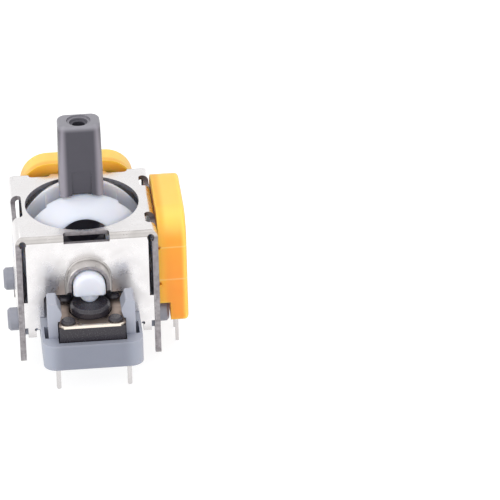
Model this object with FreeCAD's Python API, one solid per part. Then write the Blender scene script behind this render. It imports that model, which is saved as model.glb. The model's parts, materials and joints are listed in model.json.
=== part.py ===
"""Thumb stick module for a game controller: two crossed rockers in a folded steel
frame, two turning potentiometers, a return spring and a press switch."""
import FreeCAD
import Part

import math
import os

from FreeCAD import Vector

# Millimetres. The origin is on the stick's axis, at the face that sits on the circuit board.
# +X is right, +Y is away from the press switch, +Z is up along the stick.

# folded steel frame
frame_width = 13.0
frame_depth = 13.0
sheet = 0.4
fold_radius = 0.6
window_radius = 5.25
window_gap = 0.51
leg_reach = 2.1
leg_width = 1.0
corner_gap = 0.5
corner_gap_foot = 4.1
corner_relief = 0.08
end_wall_foot = 1.25
side_wall_foot = 0.45
tab_width = 0.75
tab_place = 5.3
tab_drop = 0.8
tab_relief = 0.16
tab_shoulder = 0.2
fold_slot_length = 4.2
fold_slot_reach = 0.95
pot_slot_length = 2.0
pot_slot_place = 3.6
collar_height = 1.25
collar_wall = 0.4
collar_flare = 0.2
collar_leg_drop = 0.7
collar_root = 0.05
cutout_half_width = 4.15
cutout_drop = 1.55
cutout_corner = 0.4

# gimbal
axis_height = 6.3
dome_radius = 6.2
dome_wall = 1.4
dome_skirt_angle = 55.0
dome_notch_radius = 3.05
dome_notch_rise = 0.35
slot_half_width = 1.32
slot_half_length = 5.2
slot_end_half_width = 1.6
slot_end_length = 1.9
slot_end_floor = 1.9
cheek_half_width = 2.4
cheek_drop = 1.9
cheek_side_gap = 0.25
cheek_wall = 1.05
journal_radius = 1.2
journal_clearance = 0.05
key_half_width = 0.45
key_length = 1.4
key_half_height = 0.95
key_clearance = 0.05
key_gap = 0.1

# lever
lever_top = 19.2
lever_top_width = 3.9
lever_top_depth = 2.8
lever_foot_width = 4.05
lever_foot_depth = 3.75
lever_corner = 0.85
lever_foot_corner = 0.55
lever_edge = 0.25
lever_dome_gap = 0.24
neck_width = 3.2
neck_gap = 0.38
neck_corner = 0.9
foot_radius = 1.25
foot_gap = 0.1
crown_radius = 2.55
lever_pin_radius = 0.75
cap_hole_radius = 0.6
cap_hole_depth = 2.6
cap_step_radius = 0.85
cap_step_depth = 0.4
cap_ring_radius = 1.12
cap_ring_depth = 0.16
panel_width = 1.8
panel_top = 14.75
panel_depth = 0.22

# lower rocker
rocker_half_width = 2.85
rocker_half_depth = 3.05
rocker_half_height = 1.35
rocker_window_half_width = 2.0
rocker_window_half_depth = 2.2
rocker_corner = 0.5
shaft_radius = 1.47
shaft_end = 8.7
shaft_flat_drop = 0.64
shaft_round = 0.4
shaft_head_gap = 0.1
nub_radius = 0.9
nub_place = 7.5
nub_drop = 1.43
nub_gap = 0.02
collar_clearance = 0.12

# return spring and its plate
plate_radius = 2.3
plate_thickness = 0.5
plate_gap = 0.05
plate_bevel = 0.12
spigot_height = 0.45
spigot_gap = 0.1
spring_radius = 1.75
spring_wire = 0.3
spring_turns = 4
spring_sides = 8

# press switch
switch_width = 6.0
switch_place = 8.35
switch_floor = 0.5
switch_corner = 0.15
cover_thickness = 0.25
cover_corner = 0.45
cover_overhang = 0.02
stake_pitch = 4.3
stake_radius = 0.65
stake_height = 0.32
stake_shank_radius = 0.4
stake_root = 0.2
button_radius = 1.87
button_rise = 0.75
button_bevel = 0.22
button_clearance = 0.08
button_flange = 0.25
button_foot_depth = 0.5
button_nub_radius = 0.6
button_nub_height = 0.3
cavity_depth = 1.75
snap_sheet = 0.09
snap_gap = 0.02
switch_pin_pitch = 4.5
switch_pin_span = 6.5
switch_pin_width = 0.42
switch_pin_thickness = 0.3
switch_pin_reach = 2.7
switch_pin_tip = 0.12
switch_link_height = 0.9
switch_link_depth = 0.4
switch_pin_slot = 0.09

# moulded base
base_floor = 0.8
base_gap = 0.05
base_front = 4.4
rim_wall = 0.9
rim_rise = 1.2
rim_corner = 2.0
post_width = 0.42
post_foot = 0.56
cradle_half_width = 4.57
cradle_front = 12.08
cradle_height = 2.5
cradle_bar = 0.6
cradle_corner = 1.2
switch_gap = 0.1
arm_outer = 3.97
arm_inner = 3.07
arm_hook = 2.72
arm_rise = 1.9
arm_front = 10.45
arm_depth = 2.2
arm_corner = 0.22
hook_rise = 0.8
hook_gap = 0.06
hook_hold = 0.08
flex_slot_width = 0.35
flex_slot_depth = 1.2
boss_radius = 1.07
boss_reach = 0.95
boss_place = 3.85
boss_height = 1.05
boss_bevel = 0.22
boss_root = 0.5
well_radius = 2.75
well_wall = 0.6
well_height = 2.6

# potentiometers
pot_thickness = 2.7
pot_half_width = 5.3
pot_rise = 0.75
pot_corner = 2.65
pot_edge = 0.35
pot_gap = 0.08
pot_step_depth = 1.05
pot_step_height = 2.5
pot_foot = 0.7
board_thickness = 0.55
board_margin = 0.7
board_drop = 0.5
rotor_pin_gap = 0.25
rotor_thickness = 0.7
rotor_gap = 0.2
hub_radius = 1.55
hub_clearance = 0.1
stub_radius = 1.1
wiper_sheet = 0.12
wiper_margin = 0.4
finger_width = 0.4
finger_length = 1.0
finger_lift = 0.03
peg_radius = 0.22
peg_drop = 1.75
peg_rise = 2.0
peg_depth = 0.3
pot_pin_pitch = 2.5
pot_pin_width = 0.4
pot_pin_thickness = 0.3
pot_pin_place = 1.75
pot_pin_reach = 3.1
pot_pin_bend = 0.35
pot_pin_tip = 0.1

# worked out from the values above
half_width = frame_width / 2
half_depth = frame_depth / 2
inner_half_width = half_width - sheet
inner_half_depth = half_depth - sheet
key_start = inner_half_width - key_gap
top_height = axis_height + math.sqrt(dome_radius ** 2 - (window_radius - window_gap) ** 2) + sheet
cutout_height = axis_height - cutout_drop
button_top = axis_height - nub_drop - nub_gap
switch_top = button_top - button_rise
arm_top = switch_top + arm_rise
pot_top = top_height + pot_rise
rotor_radius = axis_height - pot_step_height - pot_pin_bend - rotor_pin_gap
centre = Vector(0, 0, axis_height)
axis_x = Vector(1, 0, 0)
axis_y = Vector(0, 1, 0)
axis_z = Vector(0, 0, 1)


def box(x0, x1, y0, y1, z0, z1):
    """A block between two opposite corners."""
    return Part.makeBox(x1 - x0, y1 - y0, z1 - z0, Vector(x0, y0, z0))


def tube(radius, start, end):
    """A round bar from one point to another."""
    run = end - start
    return Part.makeCylinder(radius, run.Length, start, run)


def edges_along(shape, axis, test=None):
    """Straight edges that run along an axis, and pass a test on their middle."""
    found = []
    for edge in shape.Edges:
        if len(edge.Vertexes) != 2:
            continue
        run = edge.Vertexes[1].Point - edge.Vertexes[0].Point
        if run.Length < 1e-6 or abs(abs(run.normalize().dot(axis)) - 1) > 1e-6:
            continue
        if test is None or test(edge.CenterOfMass):
            found.append(edge)
    return found


def rounded_section(width, depth, radius, height):
    """A closed wire: a rectangle with round corners, level, centred on the stick's axis."""
    x = width / 2
    y = depth / 2
    k = radius * (1 - math.sqrt(0.5))
    edges = []
    corners = [(1, 1), (-1, 1), (-1, -1), (1, -1)]
    for index, (sx, sy) in enumerate(corners):
        first = Vector(sx * x, sy * (y - radius), height)
        last = Vector(sx * (x - radius), sy * y, height)
        middle = Vector(sx * (x - k), sy * (y - k), height)
        if index % 2:
            first, last = last, first
        edges.append(Part.Arc(first, middle, last).toShape())
        next_sx, next_sy = corners[(index + 1) % 4]
        if index % 2:
            run_end = Vector(next_sx * x, next_sy * (y - radius), height)
        else:
            run_end = Vector(next_sx * (x - radius), next_sy * y, height)
        edges.append(Part.LineSegment(last, run_end).toShape())
    return Part.Wire(edges)


def outline_solid(points, direction):
    """A prism from a closed outline; a point may be ('arc', middle, end)."""
    edges = []
    here = points[0]
    for step in points[1:] + [points[0]]:
        if isinstance(step, tuple):
            edges.append(Part.Arc(here, step[1], step[2]).toShape())
            here = step[2]
        else:
            if (step - here).Length > 1e-9:
                edges.append(Part.LineSegment(here, step).toShape())
            here = step
    return Part.Face(Part.Wire(edges)).extrude(direction)


def turned_to_back(shape):
    """The same piece on the back face: +X becomes +Y."""
    copy = shape.copy()
    copy.rotate(Vector(0, 0, 0), axis_z, 90)
    return copy


def mirrored(shape, normal):
    """The piece mirrored through a plane that holds the stick's axis."""
    return shape.mirror(Vector(0, 0, 0), normal)


# folded steel frame

def folded_shell():
    """The cap: flat top and four walls with rounded folds, open below."""
    outer = box(-half_width, half_width, -half_depth, half_depth, side_wall_foot, top_height)
    top_edges = [e for e in outer.Edges if abs(e.CenterOfMass.z - top_height) < 1e-6]
    outer = outer.makeFillet(fold_radius, top_edges)
    inner = box(-inner_half_width, inner_half_width, -inner_half_depth, inner_half_depth,
                side_wall_foot - 1, top_height - sheet)
    top_edges = [e for e in inner.Edges if abs(e.CenterOfMass.z - top_height + sheet) < 1e-6]
    inner = inner.makeFillet(fold_radius - sheet / 2, top_edges)
    return outer.cut(inner)


def corner_slits():
    """The gap beside each end wall, with a round relief at the top of the corner."""
    cuts = []
    for sx in (-1, 1):
        for sy in (-1, 1):
            x0 = sx * (inner_half_width - corner_gap)
            x1 = sx * inner_half_width
            y0 = sy * (inner_half_depth - fold_radius)
            y1 = sy * (half_depth + 1)
            slit = box(min(x0, x1), max(x0, x1), min(y0, y1), max(y0, y1),
                       corner_gap_foot, top_height - fold_radius)
            relief = tube(corner_gap / 2 + corner_relief,
                          Vector((x0 + x1) / 2, y0, top_height - fold_radius),
                          Vector((x0 + x1) / 2, y1, top_height - fold_radius))
            cuts += [slit, relief]
    return cuts


def fold_slots():
    """Slots across the folds: one long one in front and left, two short ones on the pot sides."""
    reach = fold_slot_reach
    low = top_height - fold_radius - 0.1
    end = reach / 2
    cuts = []

    def slot(length, place, wall, turn):
        block = box(wall - reach, wall + 1, place - length / 2, place + length / 2,
                    low, top_height + 1)
        upright = edges_along(block, axis_z, lambda p: p.x < wall)
        block = block.makeFillet(end * 0.8, upright)
        block.rotate(Vector(0, 0, 0), axis_z, turn)
        return block

    cuts.append(slot(fold_slot_length, 0, half_depth, -90))
    cuts.append(slot(fold_slot_length, 0, half_width, 180))
    for side in (-1, 1):
        cuts.append(slot(pot_slot_length, side * pot_slot_place, half_width, 0))
        cuts.append(slot(pot_slot_length, side * pot_slot_place, half_depth, 90))
    return cuts


def end_wall_cuts(front):
    """Trims an end wall to its foot line, with a tab left standing at each side."""
    sign = -1 if front else 1
    y0 = min(sign * (inner_half_depth - 0.2), sign * (half_depth + 0.5))
    y1 = max(sign * (inner_half_depth - 0.2), sign * (half_depth + 0.5))
    low = side_wall_foot - 1
    inside = tab_place - tab_width / 2
    outside = tab_place + tab_width / 2
    cuts = [box(-inside, inside, y0, y1, low, end_wall_foot)]
    for side in (-1, 1):
        a = side * outside
        b = side * inner_half_width
        cuts.append(box(min(a, b), max(a, b), y0, y1, low, end_wall_foot + tab_shoulder))
        cuts.append(tube(tab_relief, Vector(side * inside, y0, end_wall_foot),
                         Vector(side * inside, y1, end_wall_foot)))
    return cuts


def front_opening():
    """The cut-out over the press switch, and the round-topped slot for the rocker's shaft."""
    y0 = -half_depth - 1
    y1 = -inner_half_depth + 0.2
    cutout = box(-cutout_half_width, cutout_half_width, y0, y1, side_wall_foot - 1, cutout_height)
    corners = edges_along(cutout, axis_y, lambda p: p.z > cutout_height - 0.1)
    cutout = cutout.makeFillet(cutout_corner, corners)
    radius = shaft_radius + collar_clearance
    arch = tube(radius, Vector(0, y0, axis_height), Vector(0, y1, axis_height))
    throat = box(-radius, radius, y0, y1, cutout_height - 0.1, axis_height)
    return [cutout, arch, throat]


def front_collar():
    """The drawn lip round the shaft slot, an upside-down U that stands forward of the wall."""
    inner = shaft_radius + collar_clearance
    outer = inner + collar_wall
    wall = -half_depth
    nose = wall - collar_height
    bevel = collar_wall / 4
    k = 1 - math.sqrt(0.5)

    def at(x, y):
        return Vector(x, y, axis_height)

    flare = ("arc", at(outer + collar_flare * k, wall - collar_flare * k), at(outer, wall - collar_flare))
    leg = outline_solid([at(inner, wall + collar_root), at(outer + collar_flare, wall + collar_root),
                         at(outer + collar_flare, wall), flare, at(outer, nose + bevel),
                         at(outer - bevel, nose), at(inner, nose)],
                        Vector(0, 0, cutout_height - axis_height))
    top_face = [f for f in leg.Faces if abs(f.CenterOfMass.z - axis_height) < 1e-6][0]
    bow = top_face.revolve(centre, axis_y, -180)
    leg_foot = axis_height - collar_leg_drop
    side = -half_width
    slant = outline_solid([Vector(side, nose - 1, leg_foot), Vector(side, nose, leg_foot),
                           Vector(side, wall, cutout_height), Vector(side, wall, cutout_height - 1),
                           Vector(side, nose - 1, cutout_height - 1)], Vector(frame_width, 0, 0))
    return bow.fuse([leg, mirrored(leg, axis_x)]).cut(slant)


def frame_leg(sx, sy):
    """One solder leg: the end of a side wall, narrowed to a chisel tip."""
    x0 = inner_half_width
    x1 = half_width
    y0 = half_depth - leg_width
    y1 = half_depth
    taper = leg_width / 4
    outline = [Vector(x0, y0, side_wall_foot), Vector(x0, y1, side_wall_foot),
               Vector(x0, y1, -leg_reach + taper), Vector(x0, y1 - taper, -leg_reach),
               Vector(x0, y0 + taper, -leg_reach), Vector(x0, y0, -leg_reach + taper)]
    leg = outline_solid(outline, Vector(x1 - x0, 0, 0))
    if sx < 0:
        leg = mirrored(leg, axis_x)
    if sy < 0:
        leg = mirrored(leg, axis_y)
    return leg


def metal_frame():
    """The whole folded frame."""
    shell = folded_shell()
    cuts = corner_slits() + fold_slots() + end_wall_cuts(True) + end_wall_cuts(False)
    cuts += front_opening()
    cuts.append(tube(window_radius, Vector(0, 0, top_height - 2), Vector(0, 0, top_height + 1)))
    bore = journal_radius + journal_clearance
    cuts.append(tube(bore, Vector(-half_width - 1, 0, axis_height), Vector(0, 0, axis_height)))
    cuts.append(tube(hub_radius + hub_clearance, centre, Vector(half_width + 1, 0, axis_height)))
    cuts.append(tube(hub_radius + hub_clearance, centre, Vector(0, half_depth + 1, axis_height)))
    for side in (-1, 1):
        notch = boss_radius + base_gap
        cuts.append(tube(notch, Vector(-half_width - 1, side * boss_place, boss_height),
                         Vector(half_width + 1, side * boss_place, boss_height)))
    shell = shell.cut(cuts)
    legs = [frame_leg(sx, sy) for sx in (-1, 1) for sy in (-1, 1)]
    return shell.fuse(legs + [front_collar()]).removeSplitter()


# gimbal

def dome_arch():
    """The upper rocker: a thick spherical cap with a slot for the lever and two cheeks."""
    inner_radius = dome_radius - dome_wall
    far = 2 * dome_radius
    flat = inner_half_width - cheek_side_gap
    ball = Part.makeSphere(dome_radius, centre)
    skirt = axis_height + dome_radius * math.cos(math.radians(dome_skirt_angle))
    cap = ball.common(box(-flat, flat, -far, far, skirt, axis_height + far))
    cheeks = ball.common(box(-flat, flat, -cheek_half_width, cheek_half_width,
                             axis_height - cheek_drop, axis_height + far))
    arch = cap.fuse(cheeks)
    hollow_end = min(inner_radius, flat - cheek_wall)
    hollow = Part.makeSphere(inner_radius, centre)
    if hollow_end < inner_radius:
        hollow = hollow.common(box(-hollow_end, hollow_end, -far, far,
                                   axis_height - far, axis_height + far))
    cuts = [hollow]
    inside = slot_half_length - slot_end_length
    cuts.append(box(-inside, inside, -slot_half_width, slot_half_width, axis_height, axis_height + far))
    cuts.append(box(-slot_half_length, slot_half_length, -slot_half_width, slot_half_width,
                    axis_height + slot_end_floor, axis_height + far))
    for side in (-1, 1):
        a = side * inside
        b = side * slot_half_length
        cuts.append(box(min(a, b), max(a, b), -slot_end_half_width, slot_end_half_width,
                        axis_height + slot_end_floor, axis_height + far))
        notch_axis = top_height + dome_notch_rise - dome_notch_radius
        cuts.append(tube(dome_notch_radius, Vector(0, side * cheek_half_width, notch_axis),
                         Vector(0, side * far, notch_axis)))
    arch = arch.cut(cuts)
    root = hollow_end + sheet / 4
    left = tube(journal_radius, Vector(-root, 0, axis_height), Vector(-half_width, 0, axis_height))
    right = tube(journal_radius, Vector(root, 0, axis_height), Vector(key_start, 0, axis_height))
    key = box(key_start, key_start + key_length, -key_half_width, key_half_width,
              axis_height - key_half_height, axis_height + key_half_height)
    return arch.fuse([left, right, key]).removeSplitter()


def lever():
    """The stick's lever: tapered post, neck through the slot, cross pin and crowned foot."""
    top = rounded_section(lever_top_width, lever_top_depth, lever_corner, lever_top)
    foot_level = axis_height + dome_radius - lever_foot_depth / 3
    foot = rounded_section(lever_foot_width, lever_foot_depth, lever_foot_corner, foot_level)
    post = Part.makeLoft([foot, top], True, True)
    rim = [e for e in post.Edges if abs(e.CenterOfMass.z - lever_top) < 1e-6]
    post = post.makeFillet(lever_edge, rim)
    post = post.cut(Part.makeSphere(dome_radius + lever_dome_gap, centre))
    neck_depth = 2 * (slot_half_width - neck_gap)
    neck_top = axis_height + dome_radius + 1
    neck = Part.Face(rounded_section(neck_width, neck_depth, neck_corner, axis_height))
    neck = neck.extrude(Vector(0, 0, neck_top - axis_height))
    crown = Part.makeSphere(crown_radius, centre)
    shank = tube(foot_radius, centre, Vector(0, 0, axis_height - crown_radius - 1)).common(crown)
    hub = tube(foot_radius, Vector(-rocker_window_half_width + foot_gap, 0, axis_height),
               Vector(rocker_window_half_width - foot_gap, 0, axis_height))
    pin = tube(lever_pin_radius, Vector(-rocker_half_width, 0, axis_height),
               Vector(rocker_half_width, 0, axis_height))
    body = post.fuse([neck, shank, hub, pin]).removeSplitter()
    hole = tube(cap_hole_radius, Vector(0, 0, lever_top - cap_hole_depth), Vector(0, 0, lever_top + 1))
    step = tube(cap_step_radius, Vector(0, 0, lever_top - cap_step_depth), Vector(0, 0, lever_top + 1))
    ring = tube(cap_ring_radius, Vector(0, 0, lever_top - cap_ring_depth), Vector(0, 0, lever_top + 1))
    cuts = [hole, step, ring]
    for side in (-1, 1):
        slope = (lever_foot_depth - lever_top_depth) / 2 / (lever_top - foot_level)
        face = lever_top_depth / 2 + slope * (lever_top - panel_top) - panel_depth / 4
        a = side * face
        b = side * (face + lever_foot_depth)
        cuts.append(box(-panel_width / 2, panel_width / 2, min(a, b), max(a, b), foot_level - 1, panel_top))
    return body.cut(cuts)


def lower_rocker():
    """The lower rocker: a small open frame with a shaft through the front wall and a key behind."""
    frame = box(-rocker_half_width, rocker_half_width, -rocker_half_depth, rocker_half_depth,
                axis_height - rocker_half_height, axis_height + rocker_half_height)
    frame = frame.makeFillet(rocker_corner, edges_along(frame, axis_z))
    far = 2 * rocker_half_width
    window = box(-rocker_window_half_width, rocker_window_half_width,
                 -rocker_window_half_depth, rocker_window_half_depth, axis_height - far, axis_height + far)
    bore = tube(lever_pin_radius + journal_clearance,
                Vector(-far, 0, axis_height), Vector(far, 0, axis_height))
    root = (rocker_window_half_depth + rocker_half_depth) / 2
    back_journal = tube(journal_radius, Vector(0, root, axis_height), Vector(0, key_start, axis_height))
    key = box(-key_half_width, key_half_width, key_start, key_start + key_length,
              axis_height - key_half_height, axis_height + key_half_height)
    return frame.cut([window, bore]).fuse([rocker_shaft(root), back_journal, key]).removeSplitter()


def rocker_shaft(root):
    """The front shaft: round in the collar, with a square-sided head and a post on the button."""
    shaft = tube(shaft_radius, Vector(0, -root, axis_height), Vector(0, -shaft_end, axis_height))
    flat = axis_height - shaft_flat_drop
    head_start = half_depth + collar_height + shaft_head_gap
    head = box(-shaft_radius, shaft_radius, -shaft_end, -head_start, flat, axis_height)
    under = box(-shaft_radius, shaft_radius, -shaft_end, -inner_half_depth,
                axis_height - shaft_radius, flat)
    shaft = shaft.cut(under).fuse(head).removeSplitter()
    nose = [e for e in shaft.Edges if abs(e.CenterOfMass.y + shaft_end) < 1e-6]
    nose = [e for e in nose if e.CenterOfMass.z > flat + 1e-6]
    shaft = shaft.makeFillet(shaft_round, nose)
    post = tube(nub_radius, Vector(0, -nub_place, axis_height - nub_drop),
                Vector(0, -nub_place, axis_height))
    rounding = tube(nub_drop, Vector(0, -shaft_end, axis_height), Vector(0, -inner_half_depth, axis_height))
    return shaft.fuse(post.common(rounding))


def spring_plate():
    """The dished plate between the lever's foot and the return spring."""
    top = axis_height - crown_radius - plate_gap
    disc = tube(plate_radius, Vector(0, 0, top - plate_thickness), Vector(0, 0, top))
    disc = disc.makeChamfer(plate_bevel, [e for e in disc.Edges if abs(e.CenterOfMass.z - top) < 1e-6])
    spigot_top = top - plate_thickness
    spigot = tube(spring_radius - spring_wire / 2 - spigot_gap,
                  Vector(0, 0, spigot_top - spigot_height), Vector(0, 0, spigot_top))
    return disc.fuse(spigot).removeSplitter()


def return_spring():
    """Coil spring between the base's floor and the plate."""
    low = base_floor + spring_wire / 2
    high = axis_height - crown_radius - plate_gap - plate_thickness - spring_wire / 2
    pitch = (high - low) / spring_turns
    path = Part.makeHelix(pitch, high - low, spring_radius)
    half_wire = spring_wire / 2
    corners = []
    for index in range(spring_sides + 1):
        turn = 2 * math.pi * (index % spring_sides + 0.5) / spring_sides
        corners.append(Vector(spring_radius + half_wire * math.cos(turn), 0, half_wire * math.sin(turn)))
    section = Part.makePolygon(corners)
    coil = Part.Wire(path).makePipeShell([section], True, True)
    coil.translate(Vector(0, 0, low))
    return coil


# press switch

def stake_places():
    """Centres of the four stakes, on the switch's own corners."""
    half = stake_pitch / 2
    return [(sx * half, -switch_place + sy * half) for sx in (-1, 1) for sy in (-1, 1)]


def switch_body():
    """Moulded switch body with its cavity and four stakes with rounded heads."""
    half = switch_width / 2
    seat = switch_top - cover_thickness
    body = box(-half, half, -switch_place - half, -switch_place + half, switch_floor, seat)
    body = body.makeFillet(switch_corner, edges_along(body, axis_z))
    hole_radius = button_radius + button_clearance + button_flange
    cavity = tube(hole_radius, Vector(0, -switch_place, seat - cavity_depth),
                  Vector(0, -switch_place, switch_top))
    body = body.cut(cavity)
    stakes = []
    for x, y in stake_places():
        stakes.append(tube(stake_shank_radius, Vector(x, y, seat - stake_root), Vector(x, y, switch_top)))
        head = tube(stake_radius, Vector(x, y, switch_top), Vector(x, y, switch_top + stake_height))
        rim = [e for e in head.Edges if abs(e.CenterOfMass.z - switch_top - stake_height) < 1e-6]
        stakes.append(head.makeChamfer(stake_height / 2, rim))
    return body.fuse(stakes).cut(switch_terminals()).removeSplitter()


def switch_cover():
    """Steel plate over the switch, cropped at the corners."""
    half = switch_width / 2 + cover_overhang
    seat = switch_top - cover_thickness
    plate = box(-half, half, -switch_place - half, -switch_place + half, seat, switch_top)
    plate = plate.makeChamfer(cover_corner, edges_along(plate, axis_z))
    cuts = [tube(button_radius + button_clearance, Vector(0, -switch_place, seat - 1),
                 Vector(0, -switch_place, switch_top + 1))]
    for x, y in stake_places():
        cuts.append(tube(stake_shank_radius, Vector(x, y, seat - 1), Vector(x, y, switch_top + 1)))
    return plate.cut(cuts)


def switch_button():
    """Round button with a bevelled top and a wide flange that the cover holds in."""
    seat = switch_top - cover_thickness
    foot = seat - button_foot_depth
    stem = tube(button_radius, Vector(0, -switch_place, foot), Vector(0, -switch_place, button_top))
    rim = [e for e in stem.Edges if abs(e.CenterOfMass.z - button_top) < 1e-6]
    stem = stem.makeChamfer(button_bevel, rim)
    flange = tube(button_radius + button_flange - button_clearance,
                  Vector(0, -switch_place, foot), Vector(0, -switch_place, seat - snap_gap))
    nub = tube(button_nub_radius, Vector(0, -switch_place, foot - button_nub_height),
               Vector(0, -switch_place, foot))
    return stem.fuse([flange, nub]).removeSplitter()


def switch_dome():
    """Snap disc under the button: a shallow cap of spring steel."""
    seat = switch_top - cover_thickness
    floor = seat - cavity_depth
    rise = cavity_depth - button_foot_depth - button_nub_height - snap_gap
    radius = button_radius + button_clearance
    sphere = (radius * radius + rise * rise) / 2 / rise
    middle = Vector(0, -switch_place, floor + rise - sphere)
    cap = Part.makeSphere(sphere, middle).cut(Part.makeSphere(sphere - snap_sheet, middle))
    return cap.common(tube(radius, Vector(0, -switch_place, floor), Vector(0, -switch_place, seat)))


def switch_terminals():
    """Four round-ended pins in the corners of the switch, down through the board."""
    pins = []
    for sx in (-1, 1):
        for sy in (-1, 1):
            x = sx * switch_pin_span / 2
            y = -switch_place + sy * switch_pin_pitch / 2
            wide = switch_pin_width / 2
            deep = switch_pin_thickness / 2
            link_top = switch_floor + switch_link_height
            pin = box(x - wide, x + wide, y - deep, y + deep, -switch_pin_reach, link_top)
            tip = edges_along(pin, axis_y, lambda p: p.z < 1e-3 - switch_pin_reach)
            pin = pin.makeChamfer(switch_pin_tip, tip)
            end = sx * (switch_width / 2 - switch_link_depth)
            link = box(min(x, end), max(x, end), y - deep, y + deep,
                       link_top - switch_pin_thickness, link_top)
            pins.append(pin.fuse(link).removeSplitter())
    return pins


# moulded base

def side_arm(sx):
    """Springy arm beside the switch, with a hook over the edge of its cover."""
    y0 = -arm_front
    low = cradle_height - flex_slot_depth
    under = switch_top + hook_gap
    bulge = switch_top + hook_rise
    recess = switch_width / 2 + switch_gap
    r = arm_corner
    k = r * (1 - math.sqrt(0.5))
    outline = [Vector(arm_outer, y0, low), Vector(arm_outer, y0, arm_top - r),
               ("arc", Vector(arm_outer - k, y0, arm_top - k), Vector(arm_outer - r, y0, arm_top)),
               Vector(arm_inner + r, y0, arm_top),
               ("arc", Vector(arm_inner + k, y0, arm_top - k), Vector(arm_inner, y0, arm_top - r)),
               Vector(arm_hook + r / 4, y0, bulge + r),
               ("arc", Vector(arm_hook, y0, bulge), Vector(arm_hook + r / 4, y0, bulge - r)),
               Vector(switch_width / 2 - hook_hold, y0, under), Vector(recess, y0, under),
               Vector(recess, y0, low)]
    arm = outline_solid(outline, Vector(0, arm_depth, 0))
    return arm if sx > 0 else mirrored(arm, axis_x)


def switch_pocket(top):
    """The room in the tray that the switch drops into."""
    half = switch_width / 2 + switch_gap
    return box(-half, half, -cradle_front + cradle_bar, -switch_place + half, switch_floor, top)


def cradle():
    """Tray in front of the frame that holds the switch."""
    half = cradle_half_width
    tray = box(-half, half, -cradle_front, -base_front + rim_wall, 0, cradle_height)
    front_corners = edges_along(tray, axis_z, lambda p: p.y < -cradle_front + 1)
    tray = tray.makeFillet(cradle_corner, front_corners)
    cuts = [switch_pocket(cradle_height + 1)]
    for sx in (-1, 1):
        a = sx * arm_outer
        b = sx * (arm_outer + flex_slot_width)
        cuts.append(box(min(a, b), max(a, b), -arm_front, -arm_front + arm_depth,
                        cradle_height - flex_slot_depth, cradle_height + 1))
    arms = [side_arm(sx) for sx in (-1, 1)]
    return tray.cut(cuts).fuse(arms)


def base_floor_and_rim():
    """The floor inside the frame, with a rim at its sides and a post in each front corner."""
    half_x = inner_half_width - base_gap
    half_y = inner_half_depth - base_gap
    rim_top = end_wall_foot + rim_rise
    slab = box(-half_x, half_x, -base_front, half_y, 0, base_floor)
    rim = box(-half_x, half_x, -base_front, half_y, 0, rim_top)
    rim = rim.cut(box(-half_x + rim_wall, half_x - rim_wall,
                      -base_front + rim_wall, half_y - rim_wall, 0, rim_top))
    rim = rim.cut(box(-half_x + rim_corner, half_x - rim_corner, -base_front, half_y, base_floor, rim_top))
    posts = []
    for sx in (-1, 1):
        a = sx * (half_x - post_width)
        b = sx * half_x
        posts.append(box(min(a, b), max(a, b), -half_y, -base_front, post_foot, rim_top))
    return slab.fuse([rim] + posts)


def base():
    """The moulded base: floor, spring well, bosses at the sides and the switch's tray."""
    half_x = inner_half_width - base_gap
    well = tube(well_radius + well_wall, Vector(0, 0, 0), Vector(0, 0, well_height))
    well = well.cut(tube(well_radius, Vector(0, 0, base_floor), Vector(0, 0, well_height)))
    bosses = []
    for sx in (-1, 1):
        for sy in (-1, 1):
            boss = tube(boss_radius, Vector(sx * (half_x - boss_root), sy * boss_place, boss_height),
                        Vector(sx * (half_width + boss_reach), sy * boss_place, boss_height))
            outer = [e for e in boss.Edges if abs(abs(e.CenterOfMass.x) - half_width - boss_reach) < 1e-6]
            bosses.append(boss.makeChamfer(boss_bevel, outer))
    body = base_floor_and_rim().fuse([well, cradle()] + bosses)
    body = body.cut(switch_pocket(cradle_height + 1))
    slots = []
    wide = switch_pin_width / 2 + switch_pin_slot
    deep = switch_pin_thickness / 2 + switch_pin_slot
    for sx in (-1, 1):
        for sy in (-1, 1):
            x = sx * switch_pin_span / 2
            y = -switch_place + sy * switch_pin_pitch / 2
            slots.append(box(x - wide, x + wide, y - deep, y + deep, -1,
                             switch_floor + switch_link_height + switch_pin_slot))
    body = body.cut(slots)
    skirt_gap = box(-frame_width, frame_width, -half_depth - base_gap, -inner_half_depth + base_gap,
                    end_wall_foot - tab_drop - base_gap, axis_height)
    keep = box(-cutout_half_width + base_gap, cutout_half_width - base_gap,
               -frame_depth, 0, -1, axis_height + 1)
    return body.cut(skirt_gap.cut(keep)).removeSplitter()


# potentiometers, drawn on the right face and turned for the back

def pot_outline(inset, x0, x1, foot, drop=0):
    """The housing's round-shouldered outline as a block, drawn in by an inset, and lowered by a drop."""
    y = pot_half_width - inset
    top = pot_top - inset - drop
    r = pot_corner - inset
    k = r * (1 - math.sqrt(0.5))
    outline = [Vector(x0, -y, foot), Vector(x0, -y, top - r),
               ("arc", Vector(x0, -y + k, top - k), Vector(x0, -y + r, top)),
               Vector(x0, y - r, top),
               ("arc", Vector(x0, y - k, top - k), Vector(x0, y, top - r)),
               Vector(x0, y, foot)]
    return outline_solid(outline, Vector(x1 - x0, 0, 0))


def pot_pin_rows():
    """Places of the three terminals along the housing."""
    return [-pot_pin_pitch, 0, pot_pin_pitch]


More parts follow.
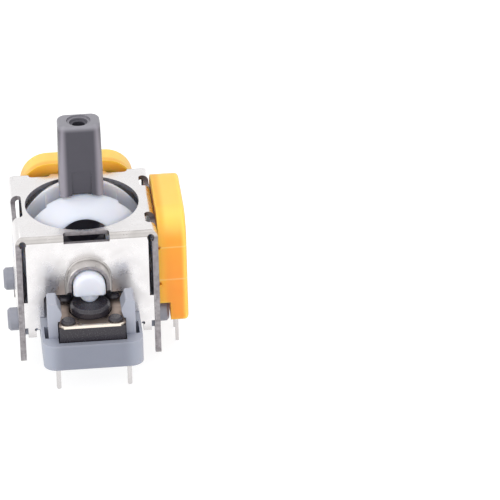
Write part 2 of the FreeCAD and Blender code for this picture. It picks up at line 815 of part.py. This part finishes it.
def pot_terminals():
    """Three bent terminals: from the track board, out over the step and down."""
    pins = []
    face = half_width + board_thickness
    x = half_width + pot_pin_place
    for y in pot_pin_rows():
        wide = pot_pin_width / 2
        drop = box(x - pot_pin_thickness / 2, x + pot_pin_thickness / 2, y - wide, y + wide,
                   -pot_pin_reach, pot_step_height + pot_pin_bend)
        tip = edges_along(drop, axis_x, lambda p: p.z < 1e-3 - pot_pin_reach)
        drop = drop.makeChamfer(pot_pin_tip, tip)
        run = box(face, x, y - wide, y + wide, pot_step_height + pot_pin_bend - pot_pin_thickness,
                  pot_step_height + pot_pin_bend)
        pins.append(drop.fuse(run).removeSplitter())
    return pins


def pot_board():
    """Track board: the brown laminate that carries the resistive rings."""
    face = half_width + board_thickness
    board = pot_outline(board_margin, half_width, face, pot_step_height, board_drop)
    return board.cut(tube(hub_radius + hub_clearance, centre, Vector(face + 1, 0, axis_height)))


def pot_housing():
    """Moulded cup over the board and rotor, stepped at the foot, with a bearing in its face."""
    x0 = half_width + pot_gap
    x1 = half_width + pot_thickness
    step = half_width + pot_step_depth
    whole = pot_outline(0, x0, x1, pot_foot)
    outer_edges = [e for e in whole.Edges if abs(e.CenterOfMass.x - x1) < 1e-6]
    whole = whole.makeFillet(pot_edge, outer_edges)
    whole = whole.cut(box(x0 - 1, step, -pot_half_width - 1, pot_half_width + 1, 0, pot_step_height))
    cavity_top = half_width + board_thickness + rotor_gap + rotor_thickness + rotor_gap + wiper_sheet
    face = half_width + board_thickness
    cuts = [pot_outline(board_margin, x0 - 1, face, pot_step_height - 1, board_drop)]
    cuts.append(tube(rotor_radius + rotor_gap, centre, Vector(cavity_top, 0, axis_height)))
    cuts.append(tube(stub_radius + journal_clearance, centre, Vector(x1 + 1, 0, axis_height)))
    for side in (-1, 1):
        for level in (axis_height - peg_drop, axis_height + peg_rise):
            cuts.append(tube(peg_radius, Vector(x0, side * pot_half_width - peg_depth, level),
                             Vector(x0, side * pot_half_width + peg_depth, level)))
    return whole.cut(cuts + pot_terminals()).removeSplitter()


def pot_rotor(play):
    """Turning disc that carries the wiper, with a keyed hub and a stub in the housing's bearing."""
    start = half_width + board_thickness + rotor_gap + wiper_sheet
    end = start + rotor_thickness
    disc = tube(rotor_radius, Vector(start, 0, axis_height), Vector(end, 0, axis_height))
    hub = tube(hub_radius, Vector(inner_half_width, 0, axis_height), Vector(start, 0, axis_height))
    stub = tube(stub_radius, Vector(end, 0, axis_height), Vector(half_width + pot_thickness, 0, axis_height))
    high = key_half_height + play
    wide = key_half_width + play
    socket = box(key_start, key_start + key_length + play, -wide, wide,
                 axis_height - high, axis_height + high)
    return disc.fuse([hub, stub]).cut(socket).removeSplitter()


def pot_wiper():
    """Contact spring on the rotor's face: a ring with two pairs of bent fingers."""
    back = half_width + board_thickness + rotor_gap + wiper_sheet
    front = back - wiper_sheet
    ring = tube(rotor_radius - wiper_margin, Vector(front, 0, axis_height), Vector(back, 0, axis_height))
    ring = ring.cut(tube(hub_radius + hub_clearance, centre, Vector(back + 1, 0, axis_height)))
    fingers = []
    middle = (hub_radius + rotor_radius) / 2
    for turn in (60, 120, 240, 300):
        finger = box(front - rotor_gap + finger_lift, front,
                     middle - finger_width / 2, middle + finger_width / 2,
                     axis_height - finger_length / 2, axis_height + finger_length / 2)
        finger.rotate(centre, axis_x, turn)
        fingers.append(finger)
    return ring.fuse(fingers).removeSplitter()


def all_parts():
    """Every piece by name."""
    parts = {
        "metal_frame": metal_frame(),
        "base": base(),
        "arch": dome_arch(),
        "lever": lever(),
        "lower_rocker": lower_rocker(),
        "spring_plate": spring_plate(),
        "return_spring": return_spring(),
        "switch_body": switch_body(),
        "switch_cover": switch_cover(),
        "switch_button": switch_button(),
        "switch_dome": switch_dome(),
        "switch_terminals": Part.makeCompound(switch_terminals()),
    }
    pot = {
        "housing": pot_housing(),
        "board": pot_board(),
        "terminals": Part.makeCompound(pot_terminals()),
        "wiper": pot_wiper(),
    }
    for name, shape in pot.items():
        parts["pot_x_" + name] = shape
        parts["pot_y_" + name] = turned_to_back(shape)
    parts["pot_x_rotor"] = pot_rotor(0)
    parts["pot_y_rotor"] = turned_to_back(pot_rotor(key_clearance))
    return parts


def main():
    os.makedirs("parts", exist_ok=True)
    for name, shape in all_parts().items():
        shape.exportStep("parts/" + name + ".step")
        solids = len(shape.Solids)
        print(name, "valid" if shape.isValid() else "INVALID", solids, round(shape.Volume, 3))


main()
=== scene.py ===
import json
import math

import bmesh
import bpy
from mathutils import Matrix, Vector


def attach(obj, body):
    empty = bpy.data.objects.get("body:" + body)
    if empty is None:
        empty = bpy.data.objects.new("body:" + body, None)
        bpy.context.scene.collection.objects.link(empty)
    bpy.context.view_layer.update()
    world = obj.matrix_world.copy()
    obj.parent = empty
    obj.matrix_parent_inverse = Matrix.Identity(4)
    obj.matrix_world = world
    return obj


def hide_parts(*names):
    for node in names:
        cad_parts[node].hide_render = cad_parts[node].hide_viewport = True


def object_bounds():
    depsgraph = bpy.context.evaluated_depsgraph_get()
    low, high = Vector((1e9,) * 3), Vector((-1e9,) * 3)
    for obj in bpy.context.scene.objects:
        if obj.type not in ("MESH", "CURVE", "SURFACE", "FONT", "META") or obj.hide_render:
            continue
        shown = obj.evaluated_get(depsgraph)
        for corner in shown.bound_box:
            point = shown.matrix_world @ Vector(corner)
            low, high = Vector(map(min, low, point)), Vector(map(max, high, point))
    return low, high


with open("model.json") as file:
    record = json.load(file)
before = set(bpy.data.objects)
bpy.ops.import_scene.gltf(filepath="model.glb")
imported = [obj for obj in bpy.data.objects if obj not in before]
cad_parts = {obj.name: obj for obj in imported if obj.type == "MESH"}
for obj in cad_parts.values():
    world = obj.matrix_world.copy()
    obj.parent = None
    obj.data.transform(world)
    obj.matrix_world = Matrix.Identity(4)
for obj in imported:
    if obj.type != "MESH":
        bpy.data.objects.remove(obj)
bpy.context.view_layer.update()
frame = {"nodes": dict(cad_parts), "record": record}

mm = 0.001
scene = bpy.context.scene
nodeBody = {node: body for body, nodes in frame["record"]["behaviour"]["bodies"].items() for node in nodes}
nodeSlot = {row["node"]: row["material_slot"] for row in frame["record"]["subparts"]}
print("frame loaded with", len(nodeBody), "nodes")


def hexColour(code):
    # sRGB hex to the linear values that the shader works with
    parts = [int(code[i:i + 2], 16) / 255 for i in (1, 3, 5)]
    return tuple(p / 12.92 if p <= 0.04045 else ((p + 0.055) / 1.055) ** 2.4 for p in parts) + (1.0,)


def addNode(tree, kind, inputs=None, **settings):
    # adds one node, sets its settings, and sets or links its inputs by name or index
    node = tree.nodes.new(kind)
    for key, value in settings.items():
        setattr(node, key, value)
    for key, value in (inputs or {}).items():
        if isinstance(value, bpy.types.NodeSocket):
            tree.links.new(value, node.inputs[key])
        else:
            node.inputs[key].default_value = value
    return node


def startMaterial(name):
    material = bpy.data.materials.new(name)
    material.use_nodes = True
    tree = material.node_tree
    tree.nodes.clear()
    shader = addNode(tree, "ShaderNodeBsdfPrincipled")
    addNode(tree, "ShaderNodeOutputMaterial", {"Surface": shader.outputs[0]})
    place = addNode(tree, "ShaderNodeTexCoord").outputs["Object"]
    return material, tree, shader, place


camera = {
    "target": (0.0, 0.0, 5.0),      # mm, a point on the stick's axis
    "targetPixel": (84.0, 256.6),   # where that point stands in the 500 by 500 photo
    "turn": -2.61,                  # degrees, a little towards the left of the object
    "rise": 28.81,                  # degrees above the level
    "roll": 2.42,                   # degrees, clockwise
    "distance": 400.0,              # mm from the target
    "pixelsPerMm": 10.77,           # at the target
    "frameWidth": 500,              # pixels
    "sensor": 36.0,                 # mm
    "clip": (0.05, 20),             # metres
}


def makeCamera(view):
    turn, rise, roll = (math.radians(view[key]) for key in ("turn", "rise", "roll"))
    back = Vector((math.sin(turn) * math.cos(rise), -math.cos(turn) * math.cos(rise), math.sin(rise)))
    right = Vector((math.cos(turn), math.sin(turn), 0))
    up = back.cross(right)
    tiltedRight = right * math.cos(roll) - up * math.sin(roll)
    tiltedUp = right * math.sin(roll) + up * math.cos(roll)
    facing = Matrix((tiltedRight, tiltedUp, back)).transposed()
    focalPixels = view["pixelsPerMm"] * view["distance"]
    half = view["frameWidth"] / 2
    ray = Vector((view["targetPixel"][0] - half, half - view["targetPixel"][1], -focalPixels)).normalized()
    aside = ray.rotation_difference(Vector((0, 0, -1)))     # points the camera past the object
    data = bpy.data.cameras.new("camera")
    data.sensor_width = view["sensor"]
    data.lens = focalPixels / view["frameWidth"] * view["sensor"]
    data.clip_start, data.clip_end = view["clip"]
    cam = bpy.data.objects.new("camera", data)
    scene.collection.objects.link(cam)
    cam.matrix_world = (Matrix.Translation((Vector(view["target"]) + back * view["distance"]) * mm)
                        @ (facing @ aside.to_matrix()).to_4x4())
    scene.camera = cam


makeCamera(camera)
print("camera set")

studio = {
    "floorHeight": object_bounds()[0].z - 0.00002,      # metres, just under the pins' tips
    "floorSize": 3.0,           # metres
    "floorColour": "#F4F4F5",
    "seenWhite": 0.84,          # share of the floor's white that needs no lamp
    "shadowShare": 0.31,        # share that the lamps give, and that a shadow takes away
    "worldColour": "#FFFFFF",
    "worldLight": 0.64,
    "lamps": [                  # name, place in mm from the stick, size in mm, watts
        ("softbox above", (-60, 40, 420), 480, 0.76),
        ("softbox left", (-420, -260, 200), 300, 0.55),
        ("softbox right", (380, -330, 160), 260, 0.3),
        ("softbox front", (-60, -460, 240), 520, 0.78),
    ],
}


def seenDirectly(tree):
    # 1 for camera, glossy and transmission rays, 0 for light that bounces on
    path = addNode(tree, "ShaderNodeLightPath")
    glossy = addNode(tree, "ShaderNodeMath", {0: path.outputs["Is Camera Ray"], 1: path.outputs["Is Glossy Ray"]},
                     operation="MAXIMUM")
    either = addNode(tree, "ShaderNodeMath", {0: glossy.outputs[0], 1: path.outputs["Is Transmission Ray"]},
                     operation="MAXIMUM")
    return either.outputs[0]


def makeStudio(room):
    size, height = room["floorSize"] / 2, room["floorHeight"]
    mesh = bpy.data.meshes.new("floor")
    corners = [(-size, -size), (size, -size), (size, size), (-size, size)]
    mesh.from_pydata([(x, y, height) for x, y in corners], [], [(0, 1, 2, 3)])
    floor = bpy.data.objects.new("floor", mesh)
    scene.collection.objects.link(floor)
    paper = bpy.data.materials.new("matt white paper sweep")
    paper.use_nodes = True
    tree = paper.node_tree
    tree.nodes.clear()
    bounce = addNode(tree, "ShaderNodeBsdfDiffuse", {"Color": hexColour(room["floorColour"])})
    lit = addNode(tree, "ShaderNodeBsdfDiffuse", {"Color": (*[room["shadowShare"]] * 3, 1)})
    white = addNode(tree, "ShaderNodeEmission", {"Color": (1, 1, 1, 1), "Strength": room["seenWhite"]})
    both = addNode(tree, "ShaderNodeAddShader", {0: lit.outputs[0], 1: white.outputs[0]})
    mixed = addNode(tree, "ShaderNodeMixShader", {0: seenDirectly(tree), 1: bounce.outputs[0], 2: both.outputs[0]})
    addNode(tree, "ShaderNodeOutputMaterial", {"Surface": mixed.outputs[0]})
    mesh.materials.append(paper)

    world = bpy.data.worlds.new("studio")
    scene.world = world
    world.use_nodes = True
    tree = world.node_tree
    tree.nodes.clear()
    dim = addNode(tree, "ShaderNodeBackground", {"Color": hexColour(room["worldColour"]),
                                                 "Strength": room["worldLight"]})
    full = addNode(tree, "ShaderNodeBackground", {"Color": (1, 1, 1, 1), "Strength": 1.0})
    mixed = addNode(tree, "ShaderNodeMixShader", {0: seenDirectly(tree), 1: dim.outputs[0], 2: full.outputs[0]})
    addNode(tree, "ShaderNodeOutputWorld", {"Surface": mixed.outputs[0]})

    for name, place, width, watts in room["lamps"]:
        data = bpy.data.lights.new(name, "AREA")
        data.shape = "SQUARE"
        data.size = width * mm
        data.energy = watts
        lamp = bpy.data.objects.new(name, data)
        scene.collection.objects.link(lamp)
        lamp.location = Vector(place) * mm
        lamp.rotation_euler = (-lamp.location).to_track_quat("-Z", "Y").to_euler()
    scene.view_settings.view_transform = "Standard"


makeStudio(studio)
print("floor, world and lamps set")

leverNarrower = 0.3     # mm by which the lever is thinner, front to back, than it is wide


def distanceAlong(tree, place, axis):
    # one number for each point of a piece, by the way in which a colour band runs
    apart = addNode(tree, "ShaderNodeSeparateXYZ", {0: place}).outputs
    if axis == "height":
        return apart[2]
    if axis == "out":       # out of the frame, towards a potentiometer
        return addNode(tree, "ShaderNodeMath", {0: apart[0], 1: apart[1]}, operation="MAXIMUM").outputs[0]
    if axis == "front":     # towards the press switch
        return addNode(tree, "ShaderNodeMath", {0: apart[1], 1: -1.0}, operation="MULTIPLY").outputs[0]
    side = addNode(tree, "ShaderNodeMath", {0: apart[0]}, operation="ABSOLUTE").outputs[0]
    if axis == "side":      # away from the middle plane
        return side
    # towards the lever's four corners
    depth = addNode(tree, "ShaderNodeMath", {0: apart[1]}, operation="ABSOLUTE").outputs[0]
    deeper = addNode(tree, "ShaderNodeMath", {0: depth, 1: leverNarrower * mm}).outputs[0]
    return addNode(tree, "ShaderNodeMath", {0: side, 1: deeper}, operation="MINIMUM").outputs[0]


def paintedLightBands(tree, place, colour, bands):
    # paints light and shade into the colour over a part of a piece: each band is axis, start and end in mm, colour,
    # share
    for axis, start, end, code, share in bands:
        mask = addNode(tree, "ShaderNodeMapRange", {"Value": distanceAlong(tree, place, axis),
                                                    "From Min": start * mm, "From Max": end * mm,
                                                    "To Min": 0.0, "To Max": share},
                       interpolation_type="SMOOTHSTEP")
        mix = addNode(tree, "ShaderNodeMix", {"Factor": mask.outputs[0], 6: colour, 7: hexColour(code)},
                      data_type="RGBA")
        colour = mix.outputs[2]
    return colour


def paleLevelLines(tree, place, colour, lines):
    # thin pale level lines at set heights: each is height and width in mm, colour, share
    for height, width, code, share in lines:
        level = distanceAlong(tree, place, "height")
        off = addNode(tree, "ShaderNodeMath", {0: level, 1: height * mm}, operation="SUBTRACT")
        off = addNode(tree, "ShaderNodeMath", {0: off.outputs[0]}, operation="ABSOLUTE")
        mask = addNode(tree, "ShaderNodeMapRange", {"Value": off.outputs[0], "From Min": width / 2 * mm,
                                                    "From Max": width * mm, "To Min": share, "To Max": 0.0})
        mix = addNode(tree, "ShaderNodeMix", {"Factor": mask.outputs[0], 6: colour, 7: hexColour(code)},
                      data_type="RGBA")
        colour = mix.outputs[2]
    return colour


mouldedSkin = {
    "cloud": 3.0,                       # mm, size of the faint flow clouds
    "duller": 0.08,                     # roughness added on the grain's hills
    "glossier": 0.06,                   # roughness taken off in its hollows
    "relief": 0.012,                    # mm, height of the tool steel's texture
    "strength": 0.5,
    "lightReach": (1.0, 0.8, 0.6),      # red goes deepest into pale plastic
}


def moulded(name, base, tone, grain, rough, ior=1.5, scatter=0.0, depth=0.4, gloss=0.5, bands=(), lines=(),
            skin=mouldedSkin):
    # injection moulded plastic: cloudy tone over millimetres, fine texture from the tool's steel
    material, tree, shader, place = startMaterial(name)
    cloud = addNode(tree, "ShaderNodeTexNoise", {"Vector": place, "Scale": 1 / (skin["cloud"] * mm), "Detail": 3.0})
    mix = addNode(tree, "ShaderNodeMix", {"Factor": cloud.outputs[0], 6: hexColour(base), 7: hexColour(tone)},
                  data_type="RGBA")
    colour = paleLevelLines(tree, place, paintedLightBands(tree, place, mix.outputs[2], bands), lines)
    fine = addNode(tree, "ShaderNodeTexNoise", {"Vector": place, "Scale": 1 / (grain * mm), "Detail": 2.0})
    spread = addNode(tree, "ShaderNodeMapRange", {"Value": fine.outputs[0], "To Min": rough - skin["glossier"],
                                                  "To Max": rough + skin["duller"]})
    bump = addNode(tree, "ShaderNodeBump", {"Height": fine.outputs[0], "Distance": skin["relief"] * mm,
                                            "Strength": skin["strength"]})
    tree.links.new(colour, shader.inputs["Base Color"])
    tree.links.new(spread.outputs[0], shader.inputs["Roughness"])
    tree.links.new(bump.outputs[0], shader.inputs["Normal"])
    shader.inputs["IOR"].default_value = ior
    shader.inputs["Specular IOR Level"].default_value = gloss
    if scatter:
        shader.inputs["Subsurface Weight"].default_value = scatter
        shader.inputs["Subsurface Radius"].default_value = skin["lightReach"]
        shader.inputs["Subsurface Scale"].default_value = depth * mm
    return material


platedSkin = {
    "patchLow": 0.3, "patchHigh": 0.7,      # the part of the patch noise that moves the gloss
    "duller": 0.10,
    "glossier": 0.07,
    "relief": 0.004,                        # mm, depth of the rolling lines
    "strength": 0.5,
}


def plated(name, base, tone, rough, lines, stretch=(1, 12, 12), patch=1.6, bands=(), skin=platedSkin):
    # rolled or drawn metal with a plated skin: faint drawn lines and a slightly uneven gloss
    material, tree, shader, place = startMaterial(name)
    turned = addNode(tree, "ShaderNodeMapping", {"Vector": place, "Scale": stretch})
    drawn = addNode(tree, "ShaderNodeTexNoise", {"Vector": turned.outputs[0], "Scale": 1 / (lines * mm),
                                                 "Detail": 4.0})
    cloud = addNode(tree, "ShaderNodeTexNoise", {"Vector": place, "Scale": 1 / (patch * mm), "Detail": 4.0})
    mix = addNode(tree, "ShaderNodeMix", {"Factor": cloud.outputs[0], 6: hexColour(base), 7: hexColour(tone)},
                  data_type="RGBA")
    spread = addNode(tree, "ShaderNodeMapRange", {"Value": cloud.outputs[0], "From Min": skin["patchLow"],
                                                  "From Max": skin["patchHigh"],
                                                  "To Min": rough - skin["glossier"],
                                                  "To Max": rough + skin["duller"]})
    bump = addNode(tree, "ShaderNodeBump", {"Height": drawn.outputs[0], "Distance": skin["relief"] * mm,
                                            "Strength": skin["strength"]})
    tree.links.new(paintedLightBands(tree, place, mix.outputs[2], bands), shader.inputs["Base Color"])
    tree.links.new(spread.outputs[0], shader.inputs["Roughness"])
    tree.links.new(bump.outputs[0], shader.inputs["Normal"])
    shader.inputs["Metallic"].default_value = 1.0
    return material


# grain, lines and patch are the real sizes of the patterns in mm
finishes = {
    # tin-plated cold-rolled steel: bright, a little milky, mirrors the room softly; a painted shade makes it grayer
    # towards the feet
    "tinned_steel": plated("tin-plated rolled sheet steel", "#F6F4F5", "#DEDBDA", rough=0.27, lines=0.9,
                           bands=[("height", 1.6, 0.3, "#C2BFBF", 0.8)]),
    # glass-filled nylon, moulded: cool gray, satin; painted highlights make the arms, the top rim and the sides
    # paler, and it goes darker again on the outermost sides
    "gray_plastic": moulded("glass-filled nylon, cool gray, moulded", "#7C808D", "#868A98", grain=0.12,
                            rough=0.40, scatter=0.2,
                            bands=[("side", 2.6, 4.5, "#AFB4C2", 0.75), ("height", 2.25, 2.9, "#AEB1BD", 0.75),
                                   ("side", 5.6, 6.4, "#868791", 0.8)]),
    # acetal: waxy white, light enters about a millimetre
    "white_plastic": moulded("acetal, white, moulded", "#DFE1EA", "#D9DCE6", grain=0.2, rough=0.32, ior=1.48,
                             scatter=0.9, depth=1.1),
    # glass-filled nylon, near black pigment: dark cool gray, with painted highlights along its four corners and on
    # its top
    "dark_plastic": moulded("glass-filled nylon, dark gray, moulded", "#3C3A43", "#44424C", grain=0.1, rough=0.33,
                            bands=[("corner", 1.15, 1.72, "#948F99", 0.9),
                                   ("height", 18.6, 19.15, "#96949C", 0.75)]),
    # nylon with carbon black: satin, light only along its edges
    "black_plastic": moulded("nylon, black, moulded", "#2D2A30", "#353239", grain=0.1, rough=0.25, gloss=0.45),
    # polyester resin: strong orange; painted light turns the rounded top and the outer edge, but not the outermost
    # face, yellow, and brightens the shaded inner faces
    "orange_plastic": moulded("polyester resin, orange, moulded", "#FF9D2F", "#FFA336", grain=0.15, rough=0.40,
                              scatter=0.85, depth=1.0,
                              bands=[("height", 5.5, 9.0, "#FFA930", 0.9), ("height", 8.8, 11.2, "#FFD463", 0.95),
                                     ("out", 7.5, 6.9, "#FFB236", 0.85), ("out", 8.6, 9.0, "#FFD762", 0.75),
                                     ("out", 9.1, 9.18, "#FFA838", 0.85)],
                              lines=[(8.3, 0.09, "#FFD98C", 0.5), (4.95, 0.09, "#FFD08A", 0.5)]),
    # phenolic paper laminate: brown, a little glossy
    "brown_laminate": moulded("paper phenolic laminate, punched", "#7A3F28", "#6A3522", grain=0.25, rough=0.5),
    # nickel over spring steel: browner and duller than the tin plate, with a painted highlight along its folded front
    # edge
    "nickel_steel": plated("nickel-plated spring steel sheet", "#A2948A", "#7A6C64", rough=0.30, lines=0.35,
                           patch=0.9, bands=[("front", 11.0, 11.25, "#FFF4E6", 0.9)]),
    # hard drawn wire: gray, with lines along its length
    "spring_steel": plated("music wire, bare", "#9D9A98", "#8C8987", rough=0.35, lines=0.2),
    # drawn terminal strip under tin: pale, with upright lines
    "tinned_pins": plated("tinned phosphor bronze, drawn", "#D9D7D8", "#C6C2C0", rough=0.28, lines=0.3,
                          stretch=(12, 12, 1)),
}
# the punched edges of the sheet: torn steel with hardly any tin on it, gray, rough and spotted
shearedSteel = plated("sheared edge of the tinned sheet", "#BBB7BA", "#655F62", rough=0.42, lines=0.12, patch=0.35)
# the front fold and the drawn collar: painted shade makes them grayer than the flat sheet
foldShadeSteel = plated("tinned sheet, painted shade on the folds", "#B1AEAD", "#9A9693", rough=0.30, lines=0.2)
print("finishes made:", len(finishes) + 2)


# edge roundings in mm; each mesh is merged first so that round faces shade smooth
mouldings = {"base": 0.12, "arch": 0.07, "lever": 0.06, "lower_rocker": 0.06, "spring_plate": 0.03}
pressSwitch = {"switch_body": 0.07, "switch_cover": 0.03, "switch_button": 0.05, "switch_terminals": 0.03}
potentiometer = {"housing": 0.07, "board": 0.02, "terminals": 0.03, "rotor": 0.04}
meshing = {
    "sharpAngle": 28.0,     # degrees; edges under this shade smooth
    "flatAngle": 0.6,       # degrees; triangles under this join into one face
    "merge": 2e-7,          # metres
    "segments": 2,
}
frameCorners = [corner / mm for corner in (Vector(c) for c in frame["nodes"]["metal_frame"].bound_box)]
steelFrame = {
    "rounding": 0.04,
    "sheet": 0.4,                               # mm, the metal's thickness
    "half": max(c.x for c in frameCorners),     # mm, from the middle to the outer faces
    "top": max(c.z for c in frameCorners),
    "windowRadius": 5.25,
    "windowSlack": 0.04,
    "near": 0.03,           # mm, how close a face has to lie to count as an outer or inner one
    "facing": 0.99,         # share of the normal that makes a face count as level or upright
    "collarLegs": (1.0, 6.0),       # mm, the collar's two feet stand beyond this x and under this z
}


def frameFinishOf(face, cap):
    # 0 for the flat sheet, 1 for its punched edges, 2 for the front fold and the drawn collar, painted in a shaded
    # gray
    middle = face.calc_center_median() / mm
    x, y, z = abs(middle.x), abs(middle.y), middle.z
    turnX, turnY, turnZ = (abs(part) for part in face.normal)
    faces = (cap["half"], cap["half"] - cap["sheet"])

    def onSheet(distance):
        return any(abs(distance - plane) < cap["near"] for plane in faces)

    legSide, legTop = cap["collarLegs"]
    if middle.y < -cap["half"] - 0.01:      # the collar stands out of the front wall
        legFoot = face.normal.z < -0.5 and x > legSide and z < legTop
        return 1 if turnY > cap["facing"] or legFoot else 2
    if turnX > cap["facing"]:
        return 0 if onSheet(x) else 1
    if turnY > cap["facing"]:
        return 0 if x < faces[1] and onSheet(y) else 1
    if turnZ > cap["facing"]:
        return 0 if z > cap["top"] - cap["sheet"] - 0.05 else 1
    if abs(math.hypot(x, y) - cap["windowRadius"]) < cap["windowSlack"] or turnZ < 0.01:
        return 1
    return 0 if turnX > turnY else 2


def makeSkin(node, rounding, rules=meshing):
    isFrame = node == "metal_frame"
    mesh = bpy.data.meshes.new(node + "_skin")
    work = bmesh.new()
    work.from_mesh(frame["nodes"][node].data)
    bmesh.ops.remove_doubles(work, verts=work.verts, dist=rules["merge"])
    bmesh.ops.dissolve_limit(work, angle_limit=math.radians(rules["flatAngle"]), verts=work.verts, edges=work.edges)
    if isFrame:
        for side in (-1, 1):        # parts the side walls' own thickness from the end walls
            inner = side * (steelFrame["half"] - steelFrame["sheet"]) * mm
            bmesh.ops.bisect_plane(work, geom=work.verts[:] + work.edges[:] + work.faces[:], dist=rules["merge"],
                                   plane_co=(inner, 0, 0), plane_no=(1, 0, 0))
    sharpAngle = math.radians(rules["sharpAngle"])
    for edge in work.edges:
        edge.smooth = edge.calc_face_angle(math.pi) < sharpAngle
    for face in work.faces:
        face.smooth = True
        if isFrame:
            face.material_index = frameFinishOf(face, steelFrame)
    work.to_mesh(mesh)
    work.free()
    skin = bpy.data.objects.new(node + "_skin", mesh)
    scene.collection.objects.link(skin)
    bevel = skin.modifiers.new("rounded edges", "BEVEL")
    bevel.width = rounding * mm
    bevel.segments = rules["segments"]
    bevel.limit_method = "ANGLE"
    bevel.angle_limit = sharpAngle
    bevel.harden_normals = False
    for finish in [finishes["tinned_steel"], shearedSteel, foldShadeSteel] if isFrame else [finishes[nodeSlot[node]]]:
        mesh.materials.append(finish)
    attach(skin, nodeBody[node])
    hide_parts(node)


skins = {"metal_frame": steelFrame["rounding"], **mouldings, **pressSwitch}
for place in ("pot_x_", "pot_y_"):
    skins.update({place + piece: rounding for piece, rounding in potentiometer.items()})
for node, rounding in skins.items():
    makeSkin(node, rounding)

shearedEdge = {
    "width": 0.16,      # mm by which shearing pushes the edge in beyond the side wall's inner face
    "overlap": 0.01,    # mm into the wall, so that no gap shows
    "proud": 0.012,     # mm in front of the wall
    "depth": 0.40,
    "low": -1.95,       # mm, near the legs' tips
    "high": 9.75,       # mm, just under the fold
    "rounding": 0.03,
}


def shearedEdgeTree():
    # a bar at each of the four corners of a level rectangle
    tree = bpy.data.node_groups.new("sheared edges", "GeometryNodeTree")
    for name in ("Bar width", "Bar depth", "Bar height", "Across", "Along", "Middle height"):
        tree.interface.new_socket(name, in_out="INPUT", socket_type="NodeSocketFloat")
    tree.interface.new_socket("Steel", in_out="INPUT", socket_type="NodeSocketMaterial")
    tree.interface.new_socket("Bars", in_out="OUTPUT", socket_type="NodeSocketGeometry")
    given = addNode(tree, "NodeGroupInput").outputs
    rectangle = addNode(tree, "GeometryNodeMeshGrid", {"Size X": given["Across"], "Size Y": given["Along"],
                                                       "Vertices X": 2, "Vertices Y": 2})
    lift = addNode(tree, "ShaderNodeCombineXYZ", {2: given["Middle height"]})
    lifted = addNode(tree, "GeometryNodeTransform", {"Geometry": rectangle.outputs["Mesh"],
                                                     "Translation": lift.outputs[0]})
    size = addNode(tree, "ShaderNodeCombineXYZ", {0: given["Bar width"], 1: given["Bar depth"],
                                                  2: given["Bar height"]})
    bar = addNode(tree, "GeometryNodeMeshCube", {"Size": size.outputs[0]})
    placed = addNode(tree, "GeometryNodeInstanceOnPoints", {"Points": lifted.outputs[0],
                                                            "Instance": bar.outputs["Mesh"]})
    plain = addNode(tree, "GeometryNodeRealizeInstances", {0: placed.outputs[0]})
    steel = addNode(tree, "GeometryNodeSetMaterial", {"Geometry": plain.outputs[0], "Material": given["Steel"]})
    addNode(tree, "NodeGroupOutput", {0: steel.outputs[0]})
    return tree


def makeShearedEdges(edge, cap):
    # shearing thickens the side walls' front and back edges, down to the tips of the legs
    middleX = cap["half"] - cap["sheet"] + edge["overlap"] - edge["width"] / 2
    middleY = cap["half"] + edge["proud"] - edge["depth"] / 2
    tree = shearedEdgeTree()
    bars = bpy.data.objects.new("shearedEdges", bpy.data.meshes.new("shearedEdges"))
    scene.collection.objects.link(bars)
    modifier = bars.modifiers.new("sheared edges", "NODES")
    modifier.node_group = tree
    sizes = {"Bar width": edge["width"], "Bar depth": edge["depth"], "Bar height": edge["high"] - edge["low"],
             "Across": 2 * middleX, "Along": 2 * middleY, "Middle height": (edge["high"] + edge["low"]) / 2}
    for socket in tree.interface.items_tree:
        if socket.name in sizes:
            modifier[socket.identifier] = sizes[socket.name] * mm
        elif socket.name == "Steel":
            modifier[socket.identifier] = shearedSteel
    made = bars.evaluated_get(bpy.context.evaluated_depsgraph_get())
    mesh = bpy.data.meshes.new_from_object(made)
    bars.modifiers.clear()
    bars.data = mesh
    bevel = bars.modifiers.new("rounded edges", "BEVEL")
    bevel.width = edge["rounding"] * mm
    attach(bars, nodeBody["metal_frame"])


makeShearedEdges(shearedEdge, steelFrame)
print("sheared edges made")

for node, obj in frame["nodes"].items():
    if node not in skins:           # springs and wipers keep their own mesh
        for holder in obj.material_slots:
            holder.material = finishes[nodeSlot[node]]
        if not obj.material_slots:
            obj.data.materials.append(finishes[nodeSlot[node]])
print("skins made for", len(skins), "nodes")
